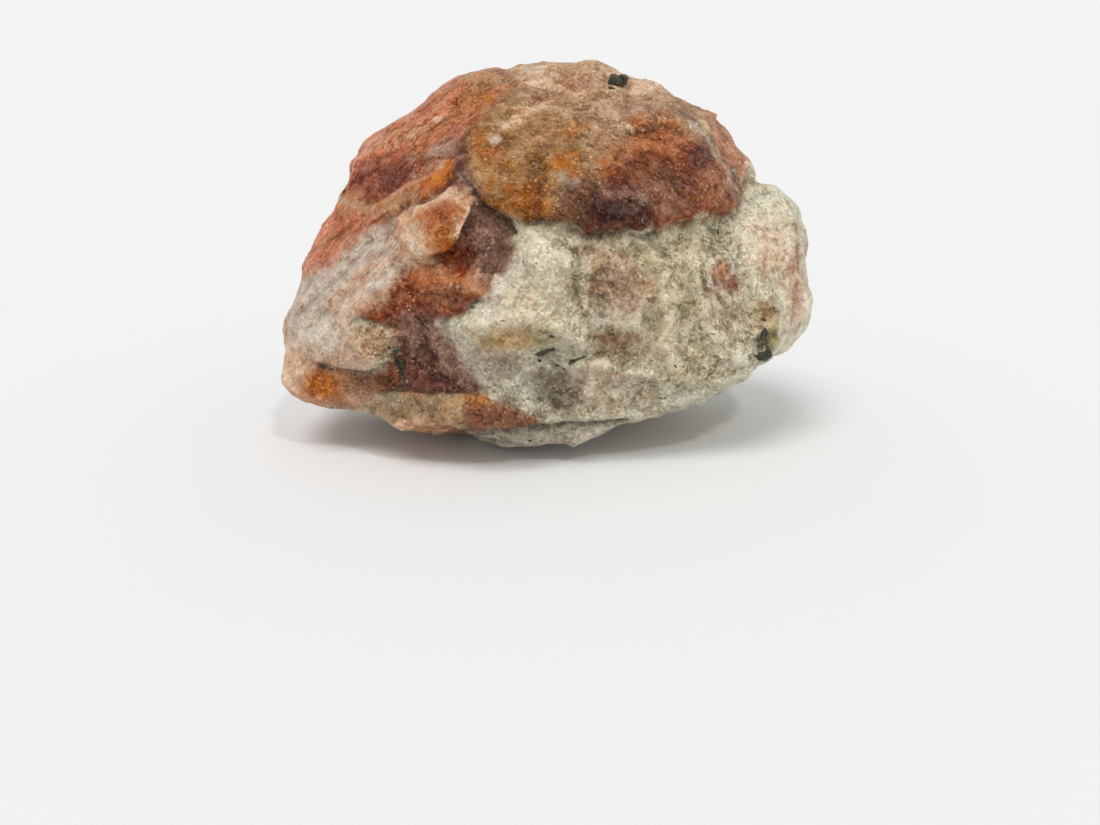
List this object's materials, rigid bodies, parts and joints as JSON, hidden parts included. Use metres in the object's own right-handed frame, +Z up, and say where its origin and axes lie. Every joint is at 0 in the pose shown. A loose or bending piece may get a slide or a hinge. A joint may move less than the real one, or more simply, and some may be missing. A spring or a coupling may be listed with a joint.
{
  "type": "rough sunstone",
  "caption": "Rough, unpolished lump of sunstone feldspar in reds, orange and greenish cream, with ledges, nodules and dark mineral grains, standing on a small flat spot.",
  "frame": {"origin": "on the surface it rests on, under the middle of the stone's box", "axes": "+Z up; +X to the right, along the stone's length; +Y to the back, so the displayed face looks towards -Y"},
  "size_m": [0.0707, 0.0454, 0.049],
  "materials": {
    "stone": "rough broken feldspar: brick red, orange and honey zones on greenish cream, waxy to glassy with fine metallic glitter",
    "dark_grain": "shiny black to dark green mineral grains grown into the stone"
  },
  "bodies": {
    "root": {"sunstone": "stone"}
  },
  "joints": []
}
